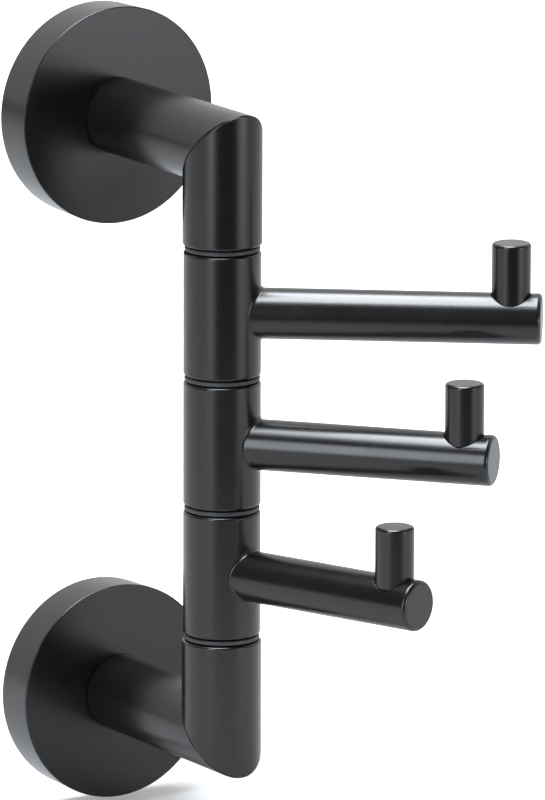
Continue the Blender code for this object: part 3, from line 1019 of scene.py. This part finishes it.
# The room is light behind the rack and dark round the camera. The cosines are from its light side,
# and say where the dark ends and where the light is full.
LIGHT_SIDE, DARK_END, LIGHT_START = (175, 0), -0.2, 0.5
FLOOR_WIDTH = 24
FLOOR_COLOUR = 0.45
# The floor glows white from some way out, and less near the rack, so that the shadow stays
NEAR_GLOW, GLOW_START, GLOW_END = 0.3, 0.04, 0.25
# How much of the glow the rack mirrors
MIRRORED_GLOW = 0.12
# A wedge of painted shade on the floor before the rack, which the rack mirrors as a dark area: which way it lies,
# the cosines from that way where it starts and is full, how far out it starts and is full, and how dark it is
SHADE_WEDGE_WAY, SHADE_WEDGE_START, SHADE_WEDGE_FULL = (12, 0), 0.70, 0.92
SHADE_WEDGE_NEAR, SHADE_WEDGE_FAR, SHADE_WEDGE_DEPTH = 0.12, 0.52, 0.95


def make_floor(studio):
    """A pale floor that shows white, and keeps the shadow under the rack. Before the rack a wedge of painted shade
    darkens it.
    """
    bpy.ops.object.select_all(action="DESELECT")
    under = Vector((*SPINDLE_AXIS.translation.xy, -studio.floor_drop))
    bpy.ops.mesh.primitive_plane_add(size=FLOOR_WIDTH, location=under)
    floor = bpy.context.object
    floor.name = floor.data.name = "studio_floor"
    material = bpy.data.materials.new("pale_floor")
    material.use_nodes = True
    tree = material.node_tree
    tree.nodes.clear()
    place = add_node(tree, "ShaderNodeTexCoord").outputs["Object"]
    away = add_node(tree, "ShaderNodeVectorMath", {"operation": "LENGTH"}, i0=place).outputs[1]
    # A wedge of painted shade darkens the floor's colour and its mirrored glow before the rack
    along = add_node(
        tree, "ShaderNodeVectorMath", {"operation": "DOT_PRODUCT"}, i0=place,
        i1=towards(*SHADE_WEDGE_WAY),
    ).outputs["Value"]
    ahead = reckon(tree, "DIVIDE", along, away)
    inside = spread(tree, ahead, SHADE_WEDGE_START, SHADE_WEDGE_FULL, 0.0, 1.0, smooth=True)
    wedge_shade = spread(tree, away, SHADE_WEDGE_NEAR, SHADE_WEDGE_FAR, 0.0, SHADE_WEDGE_DEPTH, smooth=True)
    pale = reckon(tree, "SUBTRACT", 1.0, reckon(tree, "MULTIPLY", inside, wedge_shade))
    shade = reckon(tree, "MULTIPLY", pale, FLOOR_COLOUR)
    glow = spread(tree, away, GLOW_START, GLOW_END, NEAR_GLOW, WHITE, smooth=True)
    path = add_node(tree, "ShaderNodeLightPath").outputs
    mirrored = reckon(tree, "MAXIMUM", path["Is Glossy Ray"], path["Is Transmission Ray"])
    dimmed = reckon(tree, "MULTIPLY", mirrored, reckon(tree, "MULTIPLY", pale, MIRRORED_GLOW))
    seen = reckon(tree, "ADD", path["Is Camera Ray"], dimmed)
    strength = reckon(tree, "MULTIPLY", seen, glow)
    emission = add_node(tree, "ShaderNodeEmission", Strength=strength).outputs[0]
    diffuse = add_node(tree, "ShaderNodeBsdfDiffuse", Color=shade).outputs[0]
    both = add_node(tree, "ShaderNodeAddShader", i0=emission, i1=diffuse).outputs[0]
    add_node(tree, "ShaderNodeOutputMaterial", Surface=both)
    floor.data.materials.append(material)


def make_world(studio):
    """White to the camera. The rack stands in a room that is light behind it, dark in front."""
    world = bpy.data.worlds.new("studio_room")
    bpy.context.scene.world = world
    world.use_nodes = True
    tree = world.node_tree
    backdrop = tree.nodes["Background"]
    way = add_node(tree, "ShaderNodeTexCoord").outputs["Generated"]
    lit = add_node(
        tree, "ShaderNodeVectorMath", {"operation": "DOT_PRODUCT"}, i0=way,
        i1=towards(*LIGHT_SIDE),
    ).outputs["Value"]
    path = add_node(tree, "ShaderNodeLightPath").outputs
    mirrored = reckon(tree, "MAXIMUM", path["Is Glossy Ray"], path["Is Transmission Ray"])
    back = add_node(tree, "ShaderNodeMix", i0=mirrored, i2=studio.back_side, i3=WHITE).outputs[0]
    room = spread(tree, lit, DARK_END, LIGHT_START, studio.dark_side, back, smooth=True)
    strength = add_node(
        tree, "ShaderNodeMix", i0=path["Is Camera Ray"], i2=room, i3=WHITE
    ).outputs[0]
    tree.links.new(strength, backdrop.inputs["Strength"])
    backdrop.inputs["Color"].default_value = (1, 1, 1, 1)


def make_lamps(studio):
    """Soft boxes round the rack, each facing it and hidden from the camera.

    A box's energy is worked out so that its setting is how bright it shows.
    """
    for name, lamp in LAMPS.items():
        way, side = towards(lamp.azimuth, lamp.elevation), towards(lamp.azimuth + 90, 0)
        bpy.ops.object.light_add(type="AREA")
        box = bpy.context.object
        box.name = box.data.name = name
        facing = Matrix((side, way.cross(side), way)).transposed().to_4x4()
        box.matrix_world = Matrix.Translation(STACK_MIDDLE + lamp.distance * way) @ facing
        box.data.shape = "RECTANGLE"
        box.data.size, box.data.size_y = lamp.width, lamp.height
        box.data.color = LAMP_COLOUR
        box.data.energy = getattr(studio, lamp.setting) * pi * lamp.width * lamp.height
        box.visible_camera = False


class RACK_OT_wall_plates(bpy.types.Operator):
    """Models the two cast plates that the wall screws hold"""

    bl_idname = "coat_rack.wall_plates"
    bl_label = "Wall Plates"

    def execute(self, context):
        make_wall_plates(context.scene.rack_details)
        return {"FINISHED"}


class RACK_OT_rosettes(bpy.types.Operator):
    """Models the two round cups that hide the wall plates"""

    bl_idname = "coat_rack.rosettes"
    bl_label = "Rosettes"

    def execute(self, context):
        make_rosettes(context.scene.rack_details)
        return {"FINISHED"}


class RACK_OT_set_screws(bpy.types.Operator):
    """Models the rosettes' set screws and the spindle's lock screw"""

    bl_idname = "coat_rack.set_screws"
    bl_label = "Set Screws"

    def execute(self, context):
        make_set_screws(context.scene.rack_details)
        return {"FINISHED"}


class RACK_OT_standoffs(bpy.types.Operator):
    """Models the two bars that carry the stack out from the wall"""

    bl_idname = "coat_rack.standoffs"
    bl_label = "Standoffs"

    def execute(self, context):
        for end in ENDS:
            make_standoff(end, context.scene.rack_details)
        return {"FINISHED"}


class RACK_OT_end_posts(bpy.types.Operator):
    """Models the two uprights that close the stack"""

    bl_idname = "coat_rack.end_posts"
    bl_label = "End Posts"

    def execute(self, context):
        for end in ENDS:
            make_end_post(end, context.scene.rack_details)
        return {"FINISHED"}


class RACK_OT_washers(bpy.types.Operator):
    """Models the thin rings between the barrels"""

    bl_idname = "coat_rack.washers"
    bl_label = "Washers"

    def execute(self, context):
        make_washers(context.scene.rack_details)
        return {"FINISHED"}


class RACK_OT_barrels(bpy.types.Operator):
    """Models the sleeves that the hooks swivel on"""

    bl_idname = "coat_rack.barrels"
    bl_label = "Barrels"

    def execute(self, context):
        make_barrels(context.scene.rack_details)
        return {"FINISHED"}


class RACK_OT_arms(bpy.types.Operator):
    """Models the hooks' arms, with their fillets and peg sockets"""

    bl_idname = "coat_rack.arms"
    bl_label = "Arms"

    def execute(self, context):
        for hook in HOOKS:
            make_arm(hook, context.scene.rack_details)
        return {"FINISHED"}


class RACK_OT_pegs(bpy.types.Operator):
    """Models the upright pegs near the arms' ends"""

    bl_idname = "coat_rack.pegs"
    bl_label = "Pegs"

    def execute(self, context):
        make_pegs(context.scene.rack_details)
        return {"FINISHED"}


class RACK_OT_inner_parts(bpy.types.Operator):
    """Finishes the spindle, bushes, studs and screws inside"""

    bl_idname = "coat_rack.inner_parts"
    bl_label = "Inner Parts"

    def execute(self, context):
        finish_inner_parts()
        return {"FINISHED"}


class RACK_OT_studio(bpy.types.Operator):
    """Sets up the floor, the light and the camera"""

    bl_idname = "coat_rack.studio"
    bl_label = "Studio"

    def execute(self, context):
        studio = context.scene.rack_studio
        make_floor(studio)
        make_world(studio)
        make_lamps(studio)
        make_camera(studio)
        context.scene.view_settings.view_transform = "Standard"
        return {"FINISHED"}


SETTINGS = {"rack_details": RackDetails, "rack_finish": RackFinish, "rack_studio": RackStudio}
OPERATORS = (
    RACK_OT_wall_plates,
    RACK_OT_rosettes,
    RACK_OT_set_screws,
    RACK_OT_standoffs,
    RACK_OT_end_posts,
    RACK_OT_washers,
    RACK_OT_barrels,
    RACK_OT_arms,
    RACK_OT_pegs,
    RACK_OT_inner_parts,
    RACK_OT_studio,
)


class RACK_PT_hook_rack(bpy.types.Panel):
    """The rack's pieces, and the sizes and colours that they are made with"""

    bl_idname = "RACK_PT_hook_rack"
    bl_label = "Coat Hook Rack"
    bl_space_type = "VIEW_3D"
    bl_region_type = "UI"
    bl_category = "Hook Rack"

    def draw(self, context):
        for operator in OPERATORS:
            self.layout.operator(operator.bl_idname)
        for name, group in SETTINGS.items():
            box = self.layout.box()
            for setting in group.__annotations__:
                box.prop(getattr(context.scene, name), setting)


def register():
    for one in (*SETTINGS.values(), *OPERATORS, RACK_PT_hook_rack):
        bpy.utils.register_class(one)
    for name, group in SETTINGS.items():
        setattr(bpy.types.Scene, name, PointerProperty(type=group))


def unregister():
    for name in SETTINGS:
        delattr(bpy.types.Scene, name)
    for one in (RACK_PT_hook_rack, *reversed(OPERATORS), *SETTINGS.values()):
        bpy.utils.unregister_class(one)


def main():
    """Models the whole rack."""
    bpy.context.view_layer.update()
    register()
    bpy.ops.coat_rack.wall_plates()
    bpy.ops.coat_rack.rosettes()
    bpy.ops.coat_rack.set_screws()
    bpy.ops.coat_rack.standoffs()
    bpy.ops.coat_rack.end_posts()
    bpy.ops.coat_rack.washers()
    bpy.ops.coat_rack.barrels()
    bpy.ops.coat_rack.arms()
    bpy.ops.coat_rack.pegs()
    bpy.ops.coat_rack.inner_parts()
    bpy.ops.coat_rack.studio()


if __name__ == "__main__":
    main()
